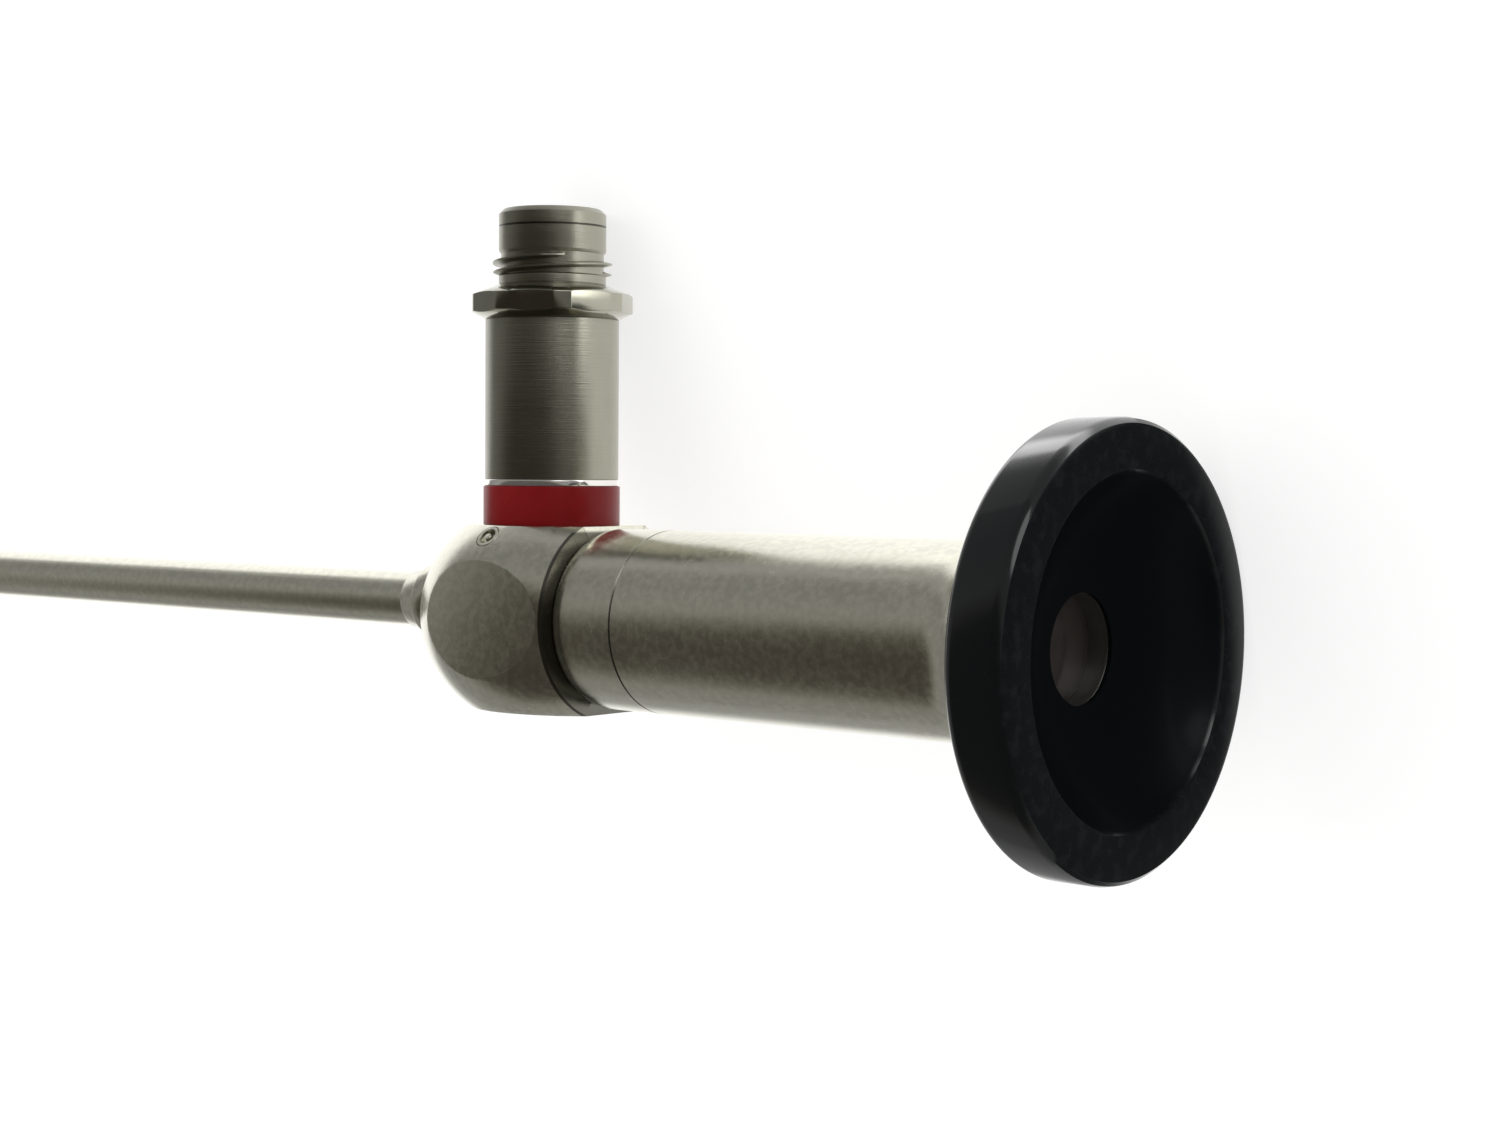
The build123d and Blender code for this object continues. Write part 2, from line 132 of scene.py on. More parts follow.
# Studio as gloss sees it: height towards the ceiling and the light that comes from there
CEILING = (0.0, -0.25, 1.0)
OVERHEAD_LIGHT = ((0.1, 0.24, 0.24, 0.235), (0.46, 0.3, 0.3, 0.285), (0.56, 0.18, 0.17, 0.145),
                  (0.63, 0.07, 0.062, 0.05), (0.77, 0.05, 0.042, 0.033))
SOFTBOX = (0.66, 0.74, 0.12)
SOFTBOX_LIGHT = (2.5, 2.5, 2.5, 1.0)
PLAIN_LIGHT = (0.72, 0.72, 0.72, 1.0)
WHITE = (1.0, 1.0, 1.0, 1.0)

# The photograph's view in the instrument's millimetres, and the floor in metres
CAMERA_PLACE = Vector((138.327, -136.629, 12.359))
CAMERA_AIM = Vector((-0.64921, 0.75950, -0.04102))
CAMERA_UPRIGHT = Vector((-0.03198, 0.02662, 0.99913))
SENSOR_WIDTH = 36.0
FOCAL_LENGTH = 56.4
FLOOR_REACH = 4.0
FLOOR_DROP = 0.00005


def length(label, description, millimetres):
    """A length that a user can set in the sidebar."""
    return FloatProperty(name=label, description=description, default=millimetres * MM,
                         min=0.0, precision=5, subtype="DISTANCE", unit="LENGTH")


def tint(label, description, red, green, blue):
    """A colour that a user can set in the sidebar."""
    return FloatVectorProperty(name=label, description=description, default=(red, green, blue),
                               min=0.0, max=1.0, subtype="COLOR")


class EndoscopeSizes(bpy.types.PropertyGroup):
    """Sizes of the turned pieces"""

    shaft_radius: length("Shaft radius", "Outside of the working shaft",
                         MOUNTS["shaft"]["dims"]["r_mm"])
    collar_flange: length("Collar flange", "Radius of the flange on the shaft's collar", 3.2)
    barrel_radius: length("Barrel radius", "Block's radius at the post's axis", 9.69)
    post_flat: length("Post flat", "Height of the flat that the post stands on", 7.45)
    bottom_flat: length("Bottom flat", "Depth of the flat opposite the post", 7.7)
    side_flat: length("Side flat", "Distance of the round side faces from the axis", 8.42)
    plug_radius: length("Plug radius", "Radius of the plug beside the post", 1.02)
    body_radius: length("Housing radius", "Outside of the ocular housing", 7.27)
    flare_radius: length("Flare radius", "Housing's radius where it meets the eyecup", 9.9)
    window_opening: length("Window opening", "Clear radius in front of the window", 3.9)
    cup_radius: length("Eyecup radius", "Outside of the eyecup's rim",
                       MOUNTS["eyecup_rim"]["dims"]["r_mm"])
    cup_front: length("Eyecup front", "Distance from the post's axis to the cup's face", 55.5)
    funnel_radius: length("Funnel radius", "Radius of the funnel's mouth", 12.35)
    ring_radius: length("Colour ring radius", "Outside of the red ring", 5.6)
    sleeve_radius: length("Post sleeve radius", "Outside of the light post's sleeve", 5.47)
    flange_radius: length("Flange radius", "Radius of the eight-sided flange's lands", 6.6)
    flange_flat: length("Flange flat", "Depth of each flat below the lands", 0.27)
    nipple_radius: length("Nipple radius", "Outside of the post's smooth end",
                          MOUNTS["light_post"]["dims"]["r_mm"])
    thread_root: length("Thread root", "Radius between the thread's ridges", 4.2)
    thread_crest: length("Thread crest", "Radius at the top of the thread's ridges", 4.95)


class EndoscopeColours(bpy.types.PropertyGroup):
    """Colours of the finishes"""

    blasted: tint("Blasted steel", "Block, plug, housing and shaft", 0.7, 0.685, 0.585)
    # Painted shade: the post's steel is set far darker than the block's steel, for the darker
    # reflections on the post.
    turned: tint("Turned steel", "Light post and its flange", 0.3, 0.292, 0.238)
    bright: tint("Bright steel", "Rim ring, window seat and inner tubes", 0.74, 0.72, 0.66)
    ring: tint("Colour ring", "Enamelled ring at the post's foot", 0.19, 0.003, 0.004)
    cup: tint("Eyecup", "Moulded black plastic", 0.0032, 0.0042, 0.005)
    anodised: tint("Anodised aluminium", "Lens cell, stops and spacers", 0.02, 0.02, 0.022)
    brass: tint("Brass", "Bush around the optical tube", 0.72, 0.49, 0.2)
    fibres: tint("Light fibres", "Polished ends of the glass fibres", 0.62, 0.6, 0.5)
    floor: tint("Floor", "Studio floor", 0.95, 0.95, 0.94)


def size(name):
    """A size from the sidebar, in millimetres."""
    return getattr(bpy.context.scene.endoscope_sizes, name) / MM


def colour(name, shade=1.0):
    """A colour from the sidebar, darker or lighter by shade."""
    return (*(part * shade for part in getattr(bpy.context.scene.endoscope_colours, name)), 1.0)


class Outline:
    """Half the section of a turned piece, drawn as (along, radius) in millimetres."""

    def __init__(self, along, radius, rounding=0.0):
        self.mesh = bmesh.new()
        self.roundings = []
        self.first = self.tip = self.mesh.verts.new((along, 0, radius))
        self.mark(rounding)

    def mark(self, rounding):
        """Note that the newest corner is to be rounded."""
        if rounding:
            self.roundings.append((self.tip, rounding))
        return self

    def line(self, along, radius, rounding=0.0):
        """Draw straight on to a corner, which may be rounded."""
        self.tip = bmesh.ops.extrude_vert_indiv(self.mesh, verts=[self.tip])["verts"][0]
        self.tip.co = (along, 0, radius)
        return self.mark(rounding)

    def arc(self, along, radius, sagitta, rounding=0.0):
        """Draw a round stretch; with a positive sagitta it bows to the left of its way."""
        start = self.tip.co.xz
        chord = Vector((along, radius)) - start
        half = chord.length / 2
        reach = (half * half + sagitta * sagitta) / (2 * sagitta)
        left = Vector((-chord.y, chord.x)).normalized()
        centre = start + chord / 2 + left * (sagitta - reach)
        turn = 4 * atan(sagitta / half)
        steps = max(3, round(abs(turn) / ARC_STEP))
        drawn = bmesh.ops.spin(self.mesh, geom=[self.tip], cent=(centre.x, 0, centre.y),
                               axis=(0, 1, 0), angle=turn, steps=steps, use_merge=False)
        self.tip = next(x for x in drawn["geom_last"] if isinstance(x, bmesh.types.BMVert))
        if (self.tip.co - Vector((along, 0, radius))).length > MERGE_DISTANCE:
            raise ValueError("an arc missed its end")
        return self.mark(rounding)

    def round_corner(self, corner, radius):
        """Ease a corner of the section to a round of this radius."""
        ends = [edge.other_vert(corner).co - corner.co for edge in corner.link_edges]
        offset = radius / tan(ends[0].angle(ends[1]) / 2)
        bmesh.ops.bevel(self.mesh, geom=[corner], offset=offset, segments=ROUNDING_STEPS,
                        profile=0.5, affect="VERTICES", material=-1)

    def turned(self, steps=TURN_STEPS):
        """Close the outline and turn it about X into a closed piece."""
        mesh = self.mesh
        mesh.edges.new((self.tip, self.first))
        bmesh.ops.contextual_create(mesh, geom=mesh.edges[:])
        for corner, radius in self.roundings:
            self.round_corner(corner, radius)
        bmesh.ops.delete(mesh, geom=mesh.faces[:], context="FACES_ONLY")
        bmesh.ops.spin(mesh, geom=mesh.verts[:] + mesh.edges[:], cent=(0, 0, 0), axis=ALONG,
                       angle=2 * pi, steps=steps, use_merge=True)
        bmesh.ops.remove_doubles(mesh, verts=mesh.verts[:], dist=MERGE_DISTANCE)
        loose = [edge for edge in mesh.edges if edge.is_wire]
        bmesh.ops.delete(mesh, geom=loose, context="EDGES")
        bmesh.ops.recalc_face_normals(mesh, faces=mesh.faces[:])
        return mesh


def sagitta_of(radius, chord):
    """How far an arc of this radius bows out from its chord."""
    return radius - sqrt(radius * radius - chord * chord / 4)


def easing_bow(run, rise):
    """How far an arc bows that leaves a straight side smoothly and rises over its run."""
    return sagitta_of((run ** 2 + rise ** 2) / (2 * rise), Vector((run, rise)).length)


def ring(start, end, outer, bore, rounding=0.0):
    """A plain turned ring; its outer corners may be rounded."""
    outline = Outline(start, bore).line(end, bore)
    outline.line(end, outer, rounding).line(start, outer, rounding)
    return outline.turned()


def drill_rod(start, end, radius):
    """A plain rod on the axis, used to bore a hole."""
    return Outline(start, 0).line(end, 0).line(end, radius).line(start, radius).turned(PIN_STEPS)


def cut_rim(mesh, point, normal):
    """Take off what lies beyond a plane and give back the edges of the cut."""
    everything = mesh.verts[:] + mesh.edges[:] + mesh.faces[:]
    cut = bmesh.ops.bisect_plane(mesh, geom=everything, dist=MERGE_DISTANCE, plane_co=point,
                                 plane_no=normal, clear_outer=True)
    return [x for x in cut["geom_cut"] if isinstance(x, bmesh.types.BMEdge)]


def cut_flat(mesh, point, normal, edge_break):
    """Plane a flat on a closed piece and break its edges."""
    rim = cut_rim(mesh, point, normal)
    bmesh.ops.contextual_create(mesh, geom=rim)
    bmesh.ops.bevel(mesh, geom=rim, offset=edge_break, segments=2, profile=0.5,
                    affect="EDGES", material=-1)


def scratch_object(mesh, name):
    """An object that is only used to work on a mesh."""
    data = bpy.data.meshes.new(name)
    mesh.to_mesh(data)
    mesh.free()
    made = bpy.data.objects.new(name, data)
    bpy.context.scene.collection.objects.link(made)
    return made


def bored(mesh, drill):
    """Cut the form of one closed mesh out of another."""
    work, tool = scratch_object(mesh, "work"), scratch_object(drill, "drill")
    cut = work.modifiers.new("bore", "BOOLEAN")
    cut.operation, cut.solver, cut.object = "DIFFERENCE", "EXACT", tool
    bpy.context.view_layer.update()
    result = bmesh.new()
    result.from_object(work, bpy.context.evaluated_depsgraph_get())
    for used in (work, tool):
        data = used.data
        bpy.data.objects.remove(used)
        bpy.data.meshes.remove(data)
    return result


def placed(mesh, place):
    """Move a mesh within the instrument."""
    bmesh.ops.transform(mesh, matrix=place, verts=mesh.verts[:])
    return mesh


def shown(name, mesh, material, slot, *nodes):
    """Put a finished mesh in the scene, on the instrument's only body."""
    for face in mesh.faces:
        face.smooth = True
    for edge in mesh.edges:
        edge.smooth = edge.calc_face_angle(0.0) < SHARP_EDGE
    placed(mesh, PLACE)
    data = bpy.data.meshes.new(name)
    mesh.to_mesh(data)
    mesh.free()
    data.materials.append(material)
    piece = bpy.data.objects.new(name, data)
    bpy.context.scene.collection.objects.link(piece)
    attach(piece, "root")
    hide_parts(*nodes)
    return piece


class Socket:
    """A shader value that takes part in ordinary sums."""

    def __init__(self, graph, output):
        self.graph = graph
        self.output = output

    def math(self, operation, *values):
        """One step of a sum."""
        return self.graph.node("Math", {"operation": operation}, dict(enumerate(values)))

    def __add__(self, other):
        return self.math("ADD", self, other)

    def __radd__(self, other):
        return self.math("ADD", other, self)

    def __sub__(self, other):
        return self.math("SUBTRACT", self, other)

    def __rsub__(self, other):
        return self.math("SUBTRACT", other, self)

    def __mul__(self, other):
        return self.math("MULTIPLY", self, other)

    def __rmul__(self, other):
        return self.math("MULTIPLY", other, self)

    def within(self, centre, full, none):
        """1 as far as full from a centre, 0 beyond none and a soft slope between them."""
        offset = self - centre
        return 1.0 - self.math("ABSOLUTE", offset).ramp(full, none)

    def ramp(self, low, high):
        """0 below low, 1 above high and a soft slope between them."""
        settings = {"interpolation_type": "SMOOTHSTEP"}
        return self.graph.node("MapRange", settings, {0: self, 1: low, 2: high})


class Graph:
    """A node tree and the one way in which its nodes are made."""

    def __init__(self, tree):
        self.tree = tree
        tree.nodes.clear()

    def node(self, kind, settings=(), inputs=(), output=0):
        """Make a node, set it up, feed its sockets and give back one of its outputs."""
        made = self.tree.nodes.new("ShaderNode" + kind)
        for name, value in dict(settings).items():
            if name == "stops":
                self.set_stops(made.color_ramp, value)
            else:
                setattr(made, name, value)
        for name, value in dict(inputs).items():
            self.feed(made.inputs[name], value)
        if made.outputs:
            return Socket(self, made.outputs[output])
        return made

    def set_stops(self, ramp, stops):
        """Give a colour ramp its stops, each a position with red, green and blue."""
        while len(ramp.elements) < len(stops):
            ramp.elements.new(1.0)
        for element, (position, *shade) in zip(ramp.elements, stops):
            element.position = position
            element.color = (*shade, 1.0)

    def feed(self, socket, value):
        """Link a shader value to a socket, or set a plain one."""
        if isinstance(value, Socket):
            self.tree.links.new(value.output, socket)
        else:
            socket.default_value = value

    def mix(self, factor, low, high):
        """A colour that goes from low to high with the factor."""
        return self.node("Mix", {"data_type": "RGBA"}, {0: factor, 6: low, 7: high}, output=2)

    def white_rays(self):
        """1 for the rays that see the studio white: those of the camera and through glass."""
        return (self.node("LightPath", output="Is Camera Ray")
                + self.node("LightPath", output="Is Transmission Ray"))


class Finish(Graph):
    """A procedural material whose patterns lie in the instrument's own millimetres."""

    def __init__(self, name, **look):
        self.material = bpy.data.materials.new(name)
        self.material.use_nodes = True
        super().__init__(self.material.node_tree)
        self.surface = self.node("BsdfPrincipled")
        self.node("OutputMaterial", inputs={"Surface": self.surface})
        self.set(**look)
        place, turn, scale = PLACE.inverted().decompose()
        self.space = self.node("Mapping", {"vector_type": "POINT"}, {
            "Vector": self.node("TexCoord", output="Object"), "Location": place,
            "Rotation": turn.to_euler(), "Scale": scale})

    def set(self, **inputs):
        """Feed the shader's sockets; an underscore stands for a space."""
        for name, value in inputs.items():
            self.feed(self.surface.output.node.inputs[name.replace("_", " ")], value)

    def noise(self, scale, detail=2.0, stretch=(1.0, 1.0, 1.0)):
        """Noise of so many cells a millimetre; a stretch above 1 packs them closer."""
        space = self.node("Mapping", {"vector_type": "POINT"},
                          {"Vector": self.space, "Scale": stretch})
        return self.node("TexNoise", inputs={"Vector": space, "Scale": scale, "Detail": detail})

    def specks(self, scale, threshold):
        """Small round spots, 1 inside and 0 outside."""
        spots = self.node("TexVoronoi", inputs={"Vector": self.space, "Scale": scale})
        return 1.0 - spots.ramp(threshold * 0.5, threshold)

    def part(self, axis):
        """One coordinate of the instrument, in millimetres."""
        return self.node("SeparateXYZ", inputs={"Vector": self.space}, output=axis)

    def bump(self, height, depth):
        """Relief of a depth in millimetres."""
        relief = self.node("Bump", inputs={"Height": height, "Distance": depth * MM,
                                           "Strength": 1.0})
        self.set(Normal=relief)


def blasted_steel():
    """Bead-blasted steel: mottled grain, clouds in the gloss, dark, fine joint lines and painted
    shade on the block's rear face.
    """
    finish = Finish("blasted_steel", Metallic=1.0)
    grain = finish.noise(5.0, detail=4.0)
    mottle = finish.noise(1.7, detail=5.0).ramp(0.34, 0.68)
    cloud = finish.noise(0.22, detail=3.0)
    along, up = finish.part(0), finish.part(2)
    # Painted shade: the block's rear face, in the gap to the housing, is painted near black for its
    # shade and dark reflection.
    painted_rear_shade = along.within(BLOCK_REAR_X - 0.1, 0.12, 0.18) * (1.0 - up.ramp(6.9, 7.2))
    joint = along.within(JOINT_X, 0.06, 0.13)
    steel = finish.mix(mottle * 0.5 + grain * 0.3 + cloud * 0.2, colour("blasted", 0.84),
                       colour("blasted", 1.1))
    finish.set(Base_Color=finish.mix(painted_rear_shade + joint, steel, colour("blasted", 0.2)),
               Roughness=0.16 + 0.07 * cloud + 0.05 * mottle + 0.04 * grain)
    finish.bump(grain, 0.0045)
    return finish.material


def drawn_steel():
    """Satin steel of the shaft, with fine lines along it."""
    finish = Finish("drawn_steel", Metallic=1.0)
    lines = finish.noise(3.0, detail=3.0, stretch=(0.04, 2.0, 2.0))
    cloud = finish.noise(0.12, detail=2.0)
    mottle = finish.noise(1.7, detail=5.0).ramp(0.34, 0.68)
    finish.set(Base_Color=finish.mix(lines * 0.5 + mottle * 0.5, colour("blasted", 0.88),
                                     colour("blasted", 1.1)),
               Roughness=0.15 + 0.08 * cloud + 0.06 * lines)
    finish.bump(lines, 0.003)
    return finish.material


def turned_steel():
    """Steel of the light post, darkened as painted shade: the fine rings of its turning and painted
    shade in the fine cut near its end.
    """
    finish = Finish("turned_steel", Metallic=1.0)
    rings = finish.noise(3.2, detail=4.0, stretch=(0.05, 0.05, 1.6))
    fine_rings = finish.noise(8.0, detail=3.0, stretch=(0.03, 0.03, 1.6))
    cloud = finish.noise(0.35, detail=3.0)
    wiped = finish.noise(0.8, detail=3.0, stretch=(1.4, 1.4, 0.25))
    # The darkened post steel colour is painted shade.
    steel = finish.mix(cloud * 0.4 + wiped * 0.3 + rings * 0.3,
                       colour("turned", 0.8), colour("turned", 1.18))
    # Painted shade: the fine cut is painted dark for the shade inside it.
    cut = finish.part(2).within((CUT_LOW_Z + CUT_HIGH_Z) / 2, 0.06, 0.11)
    finish.set(Base_Color=finish.mix(cut, steel, colour("turned", 0.25)),
               Roughness=0.27 + 0.08 * cloud + 0.06 * rings)
    finish.bump(fine_rings, 0.02)
    return finish.material


def milled_steel():
    """Steel of the flange: crisp flats with a fine grain."""
    finish = Finish("milled_steel", Metallic=1.0)
    grain = finish.noise(6.0, detail=3.0)
    wiped = finish.noise(0.7, detail=4.0)
    # The darkened post steel colour is painted shade.
    finish.set(Base_Color=finish.mix(wiped * 0.7 + grain * 0.3, colour("turned", 0.95),
                                     colour("turned", 1.2)),
               Roughness=0.1 + 0.07 * wiped + 0.04 * grain)
    finish.bump(grain, 0.0015)
    return finish.material


def bright_steel():
    """Finely turned steel that is left bright, with light handling marks."""
    finish = Finish("bright_steel", Metallic=1.0)
    marks = finish.noise(1.6, detail=4.0)
    finish.set(Base_Color=finish.mix(marks, colour("bright", 0.88), colour("bright")),
               Roughness=0.18 + 0.14 * marks)
    finish.bump(finish.noise(9.0), 0.001)
    return finish.material


def seat_steel():
    """Steel of the ring around the window, darkened as painted shade for the window's recess."""
    finish = Finish("seat_steel", Metallic=1.0)
    rings = finish.noise(5.0, detail=3.0, stretch=TURNING_MARKS)
    # Painted shade: the bright steel is taken down to about a third for the shade in the recess.
    finish.set(Base_Color=finish.mix(rings, colour("bright", 0.26), colour("bright", 0.4)),
               Roughness=0.38 + 0.14 * rings)
    finish.bump(rings, 0.002)
    return finish.material


def red_enamel():
    """Glossy red ring with the faint flow and dust of its coat."""
    finish = Finish("red_enamel", Specular_IOR_Level=0.14, Coat_Roughness=0.12)
    flow = finish.noise(0.9, detail=3.0)
    dust = finish.specks(2.2, 0.09)
    finish.set(Base_Color=finish.mix(flow, colour("ring", 0.86), colour("ring", 1.12)),
               Roughness=0.32 + 0.1 * flow + 0.2 * dust, Coat_Weight=0.04 + 0.04 * flow)
    finish.bump(flow, 0.006)
    return finish.material


def cup_plastic():
    """Moulded black plastic: glossy outside, dull in the funnel, with dust and rim wear."""
    finish = Finish("cup_plastic", Specular_IOR_Level=0.07, Coat_Roughness=0.1)
    grain = finish.noise(5.0, detail=3.0)
    wiped = finish.noise(0.28, detail=4.0)
    dust = finish.specks(1.3, 0.045)
    across, up = finish.part(1), finish.part(2)
    mouth = size("funnel_radius")
    outside = (across * across + up * up).ramp((mouth - 0.25) ** 2, (mouth - 0.05) ** 2)
    front = finish.part(0).ramp(size("cup_front") - 0.45, size("cup_front") - 0.05)
    rubbed = front * finish.noise(0.9, detail=4.0).ramp(0.45, 0.75)
    worn = finish.mix(0.4 * rubbed + 0.8 * dust, colour("cup"), colour("cup", 5.0))
    finish.set(Base_Color=worn, Roughness=0.2 + 0.16 * wiped + 0.05 * grain + 0.12 * dust,
               Coat_Weight=(0.02 + 0.98 * outside) * (1.0 - 0.15 * wiped))
    finish.bump(grain, 0.002)
    return finish.material


def anodised():
    """Black anodised aluminium with turning rings."""
    finish = Finish("anodised", Metallic=0.2)
    rings = finish.noise(4.0, stretch=TURNING_MARKS)
    finish.set(Base_Color=finish.mix(rings, colour("anodised", 0.7), colour("anodised", 1.6)),
               Roughness=0.5 + 0.15 * rings)
    finish.bump(rings, 0.002)
    return finish.material


def brass():
    """Turned brass."""
    finish = Finish("brass", Metallic=1.0)
    rings = finish.noise(4.0, stretch=TURNING_MARKS)
    finish.set(Base_Color=finish.mix(rings, colour("brass", 0.85), colour("brass", 1.1)),
               Roughness=0.26 + 0.12 * rings)
    finish.bump(rings, 0.002)
    return finish.material


def glass():
    """Clear polished glass with a trace of haze."""
    finish = Finish("glass", Transmission_Weight=1.0, IOR=1.52)
    haze = finish.noise(0.7, detail=3.0)
    finish.set(Base_Color=finish.mix(haze, (0.93, 0.95, 0.96, 1.0), (0.97, 0.98, 0.98, 1.0)),
               Roughness=0.01 + 0.05 * haze)
    return finish.material


def window_glass():
    """The window's glass: dark brownish and mostly opaque, with wiped haze; the dark is painted
    shade for the tube seen through it.
    """
    finish = Finish("window_glass", Transmission_Weight=0.3, IOR=1.5)
    haze = finish.noise(0.6, detail=4.0)
    # Painted shade: the glass is coloured dark for the dark interior behind the window.
    finish.set(Base_Color=finish.mix(haze, (0.03, 0.024, 0.022, 1.0), (0.058, 0.05, 0.046, 1.0)),
               Roughness=0.08 + 0.12 * haze)
    return finish.material


def fibre_ends():
    """Polished ends of packed glass fibres."""
    finish = Finish("fibre_ends", IOR=1.5)
    cells = finish.node("TexVoronoi", inputs={"Vector": finish.space, "Scale": 14.0})
    finish.set(Base_Color=finish.mix(cells.ramp(0.2, 0.6), colour("fibres"),
                                     colour("fibres", 0.4)),
               Roughness=0.12 + 0.2 * cells)
    finish.bump(1.0 - cells, 0.002)
    return finish.material


def make_shaft():
    """The shaft's tube, cut on the slant at its tip."""
    radius = size("shaft_radius")
    tip_x = COLLAR_X - SHAFT_LENGTH
    tube = ring(tip_x - 2 * radius, COLLAR_X, radius, radius - SHAFT_WALL)
    placed(tube, Matrix.Translation((0, 0, SHAFT_LIFT)))
    slant = (-cos(VIEW_ANGLE), 0, -sin(VIEW_ANGLE))
    rim = cut_rim(tube, (tip_x, 0, 0), slant)
    bmesh.ops.bridge_loops(tube, edges=rim)
    shown("satin_shaft", tube, drawn_steel(), "satin_steel", "shaft_tube")


def make_collar():
    """The stepped collar behind the shaft."""
    bore = size("shaft_radius") - SHAFT_WALL
    flange, hub, neck, front = size("collar_flange"), 2.75, 2.6, 2.5
    flange_edge, front_edge = 0.1, 0.08
    flange_end_x = COLLAR_FLANGE_X + COLLAR_FLANGE_WIDTH
    outline = Outline(COLLAR_X, bore).line(COLLAR_END_X, bore).line(COLLAR_END_X, neck)
    outline.line(flange_end_x, neck).line(flange_end_x, flange, flange_edge)
    outline.line(COLLAR_FLANGE_X, flange, flange_edge).line(COLLAR_FLANGE_X, hub)
    outline.line(COLLAR_X, front, front_edge)
    collar = placed(outline.turned(), Matrix.Translation((0, 0, SHAFT_LIFT)))
    shown("stepped_collar", collar, bpy.data.materials["blasted_steel"], "satin_steel",
          "shaft_collar")


def barrel_radius_at(x):
    """The barrel's radius at x: one arc ahead of the post and a flatter one behind it."""
    arc = NOSE_ARC if x < 0 else REAR_ARC
    return size("barrel_radius") - arc + sqrt(arc * arc - x * x)


def make_block():
    """The barrel that carries the post, with its four flats, its bores and the plug's hole."""
    widest, chamfer, nose_edge, flat_edge = size("barrel_radius"), 0.15, 0.15, 0.07
    spigot_seat, chamber, collar_hole, plug_gap, overlap = 5.62, 4.2, 2.62, 0.05, 1
    nose, rear_x = barrel_radius_at(NOSE_X), BLOCK_REAR_X - 2 * chamfer
    rear = barrel_radius_at(rear_x)
    front_chord = Vector((NOSE_X, widest - nose)).length
    rear_chord = Vector((rear_x, widest - rear)).length
    outline = Outline(BLOCK_REAR_X, spigot_seat).line(SPIGOT_X, spigot_seat)
    outline.line(SPIGOT_X, chamber).line(CHAMBER_X, chamber).line(CHAMBER_X, 0)
    outline.line(NOSE_X, 0).line(NOSE_X, nose, nose_edge)
    outline.arc(0, widest, sagitta_of(NOSE_ARC, front_chord))
    outline.arc(rear_x, rear, sagitta_of(REAR_ARC, rear_chord))
    block = outline.line(BLOCK_REAR_X, rear - chamfer).turned()
    cut_flat(block, (0, 0, size("post_flat")), (0, 0, 1), flat_edge)
    cut_flat(block, (0, 0, -size("bottom_flat")), (0, 0, -1), flat_edge)
    for side in (-1, 1):
        cut_flat(block, (0, side * size("side_flat"), 0), (0, side, 0), flat_edge)
    lift = Matrix.Translation((0, 0, SHAFT_LIFT))
    bore, plug_hole = size("shaft_radius") - SHAFT_WALL, size("plug_radius") + plug_gap
    for start, end, radius, place in (
            (NOSE_X - overlap, COLLAR_END_X, collar_hole, lift),
            (COLLAR_END_X - overlap, CHAMBER_X + overlap, bore, lift),
            (-PLUG_LENGTH, overlap, plug_hole, plug_place())):
        block = bored(block, placed(drill_rod(start, end, radius), place))
    shown("barrel_block", block, bpy.data.materials["blasted_steel"], "satin_steel",
          "post_block")


def plug_place():
    """Where the plug's head lies; its axis, drawn on X, points out of the block."""
    outward = Vector((0, cos(PLUG_ANGLE), sin(PLUG_ANGLE)))
    head = Vector((PLUG_X, 0, 0)) + outward * (barrel_radius_at(PLUG_X) - PLUG_SINK)
    turn = ALONG.rotation_difference(outward).to_matrix().to_4x4()
    return Matrix.Translation(head) @ turn


def make_plug():
    """The plug beside the post, with a ring groove in its head."""
    outer, groove, centre, groove_floor = size("plug_radius"), 0.74, 0.33, -0.35
    outer_edge, groove_edge, centre_edge = 0.06, 0.03, 0.05
    outline = Outline(-PLUG_LENGTH, 0).line(-PLUG_LENGTH, outer).line(0, outer, outer_edge)
    outline.line(0, groove, groove_edge).line(groove_floor, groove)
    outline.line(groove_floor, centre).line(0, centre, centre_edge).line(0, 0)
    plug = placed(outline.turned(PIN_STEPS), plug_place())
    shown("grooved_plug", plug, bpy.data.materials["blasted_steel"], "bright_steel",
          "block_plug")


def make_sleeve():
    """Front part of the ocular housing, with its spigots and a rounded shoulder."""
    body, shoulder, width, face_edge = size("body_radius"), 0.3, 1.2, 0.08
    front_spigot, bore, rear_spigot, spigot_end_x = 5.6, 4.6, body - 1.09, JOINT_X + 3.5
    outline = Outline(spigot_end_x, rear_spigot).line(spigot_end_x, bore)
    outline.line(SPIGOT_X, bore).line(SPIGOT_X, front_spigot)
    outline.line(BLOCK_REAR_X, front_spigot).line(BLOCK_REAR_X, body - shoulder, face_edge)
    outline.arc(BLOCK_REAR_X + width, body, easing_bow(width, shoulder))
    outline.line(JOINT_X - JOINT_GROOVE, body).line(JOINT_X, body - JOINT_GROOVE)
    outline.line(JOINT_X, rear_spigot)
    shown("housing_sleeve", outline.turned(), bpy.data.materials["blasted_steel"],
          "satin_steel", "front_sleeve")


def make_flared_tube():
    """Rear part of the ocular housing, flared to the back of the eyecup."""
    body, flare, nose = size("body_radius"), size("flare_radius"), 7.0
    bore, seat_x = body - 1.07, 46.8
    outline = Outline(CUP_X, nose).line(CUP_NOSE_X, nose).line(CUP_NOSE_X, CUP_SEAT)
    outline.line(seat_x, CUP_SEAT).line(seat_x, bore).line(JOINT_X, bore)
    outline.line(JOINT_X, body - JOINT_GROOVE).line(JOINT_X + JOINT_GROOVE, body)
    outline.line(FLARE_X, body).arc(CUP_X, flare, -easing_bow(CUP_X - FLARE_X, flare - body))
    shown("flared_tube", outline.turned(), bpy.data.materials["blasted_steel"],
          "satin_steel", "ocular_tube")


